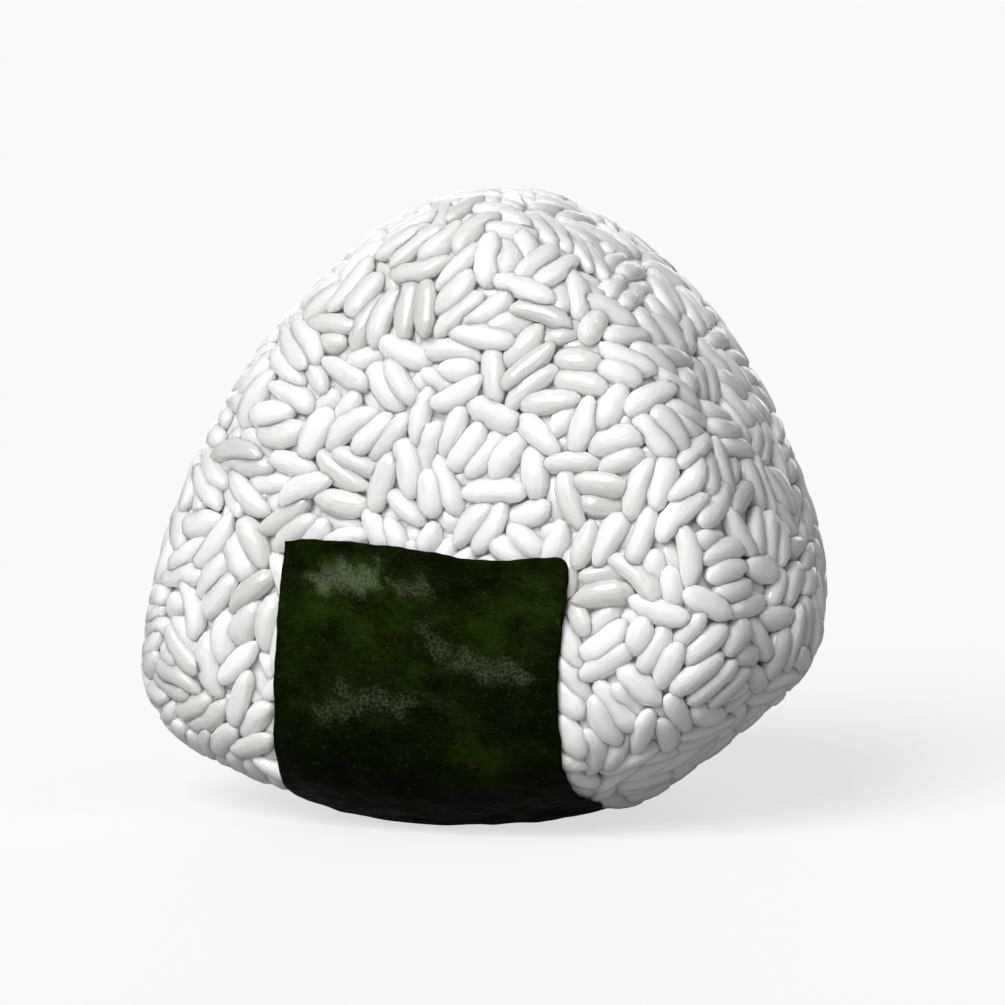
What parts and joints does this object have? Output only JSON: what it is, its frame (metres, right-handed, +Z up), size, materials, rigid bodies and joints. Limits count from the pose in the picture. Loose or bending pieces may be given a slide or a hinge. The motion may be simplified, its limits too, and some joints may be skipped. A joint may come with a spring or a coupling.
{
  "type": "onigiri rice ball",
  "caption": "Rounded triangle of pressed white rice that stands on its base, with a strip of nori wrapped from the front, under the base and up the back.",
  "frame": {"origin": "on the floor, below the middle of the ball's bounding box", "axes": "+X to the right seen from the front, +Y from the front to the back, +Z up; the front face looks along -Y"},
  "size_m": [0.0726, 0.0474, 0.0675],
  "materials": {
    "cooked_rice": "moist, softly glossy grains of cooked white rice",
    "nori_sheet": "dark green, almost black dried seaweed with a soft sheen and a fibrous grain"
  },
  "bodies": {
    "root": {"rice": "cooked_rice", "nori": "nori_sheet"}
  },
  "joints": []
}
